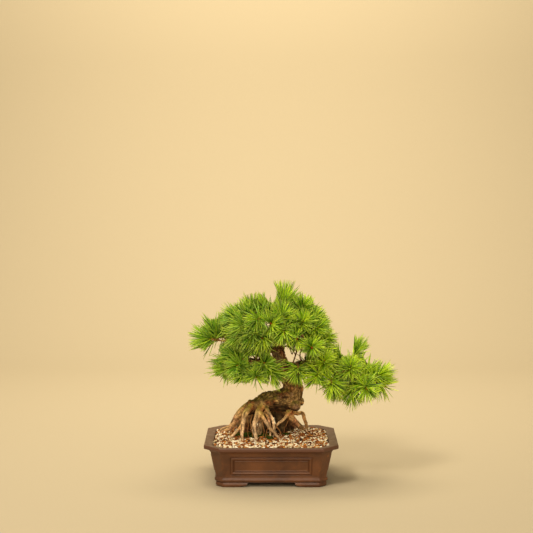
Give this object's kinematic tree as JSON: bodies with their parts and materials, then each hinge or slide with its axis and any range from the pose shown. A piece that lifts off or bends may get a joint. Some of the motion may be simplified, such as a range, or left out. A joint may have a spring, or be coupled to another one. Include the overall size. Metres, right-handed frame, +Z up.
{
  "type": "japanese white pine bonsai in a clay pot",
  "caption": "Bonsai white pine on bare arching roots, with needle sprays on spreading boughs, planted in soil in an unglazed clay pot with cut corners and bracket feet.",
  "frame": {"origin": "on the surface that the pot's feet stand on, under the middle of the box round the tree and its pot", "axes": "+Z up, +X to the right of someone who faces the pot's front, +Y from the front to the back"},
  "size_m": [0.3086, 0.164, 0.291],
  "materials": {
    "clay": "matte",
    "soil": "matte",
    "screen": "matte",
    "bark": "matte",
    "needles": "satin"
  },
  "bodies": {
    "root": {"pot": "clay", "soil": "soil", "drain_screen_left": "screen", "drain_screen_right": "screen", "tree_wood": "bark", "spray_left_tip_1": "needles", "spray_left_tip_2": "needles", "spray_left_crown_1": "needles", "spray_left_crown_2": "needles", "spray_left_crown_3": "needles", "spray_left_crown_4": "needles", "spray_left_crown_5": "needles", "spray_left_crown_6": "needles", "spray_left_crown_7": "needles", "spray_left_crown_8": "needles", "spray_left_low_1": "needles", "spray_left_low_2": "needles", "spray_left_low_3": "needles", "spray_left_low_4": "needles", "spray_left_low_5": "needles", "spray_left_low_6": "needles", "spray_left_low_7": "needles", "spray_left_low_8": "needles", "spray_left_low_9": "needles", "spray_top_1": "needles", "spray_top_2": "needles", "spray_top_3": "needles", "spray_top_4": "needles", "spray_top_5": "needles", "spray_top_6": "needles", "spray_top_7": "needles", "spray_top_8": "needles", "spray_right_top_1": "needles", "spray_right_top_2": "needles", "spray_right_top_3": "needles", "spray_right_top_4": "needles", "spray_right_crown_1": "needles", "spray_right_crown_2": "needles", "spray_right_crown_3": "needles", "spray_right_crown_4": "needles", "spray_right_crown_5": "needles", "spray_right_crown_6": "needles", "spray_right_crown_7": "needles", "spray_right_long_1": "needles", "spray_right_long_2": "needles", "spray_right_long_3": "needles", "spray_right_long_4": "needles", "spray_right_long_5": "needles", "spray_right_long_6": "needles", "spray_right_long_7": "needles", "spray_right_long_8": "needles", "spray_right_long_9": "needles", "spray_right_long_10": "needles", "spray_right_long_11": "needles", "spray_right_long_12": "needles", "spray_right_long_13": "needles"}
  },
  "joints": []
}
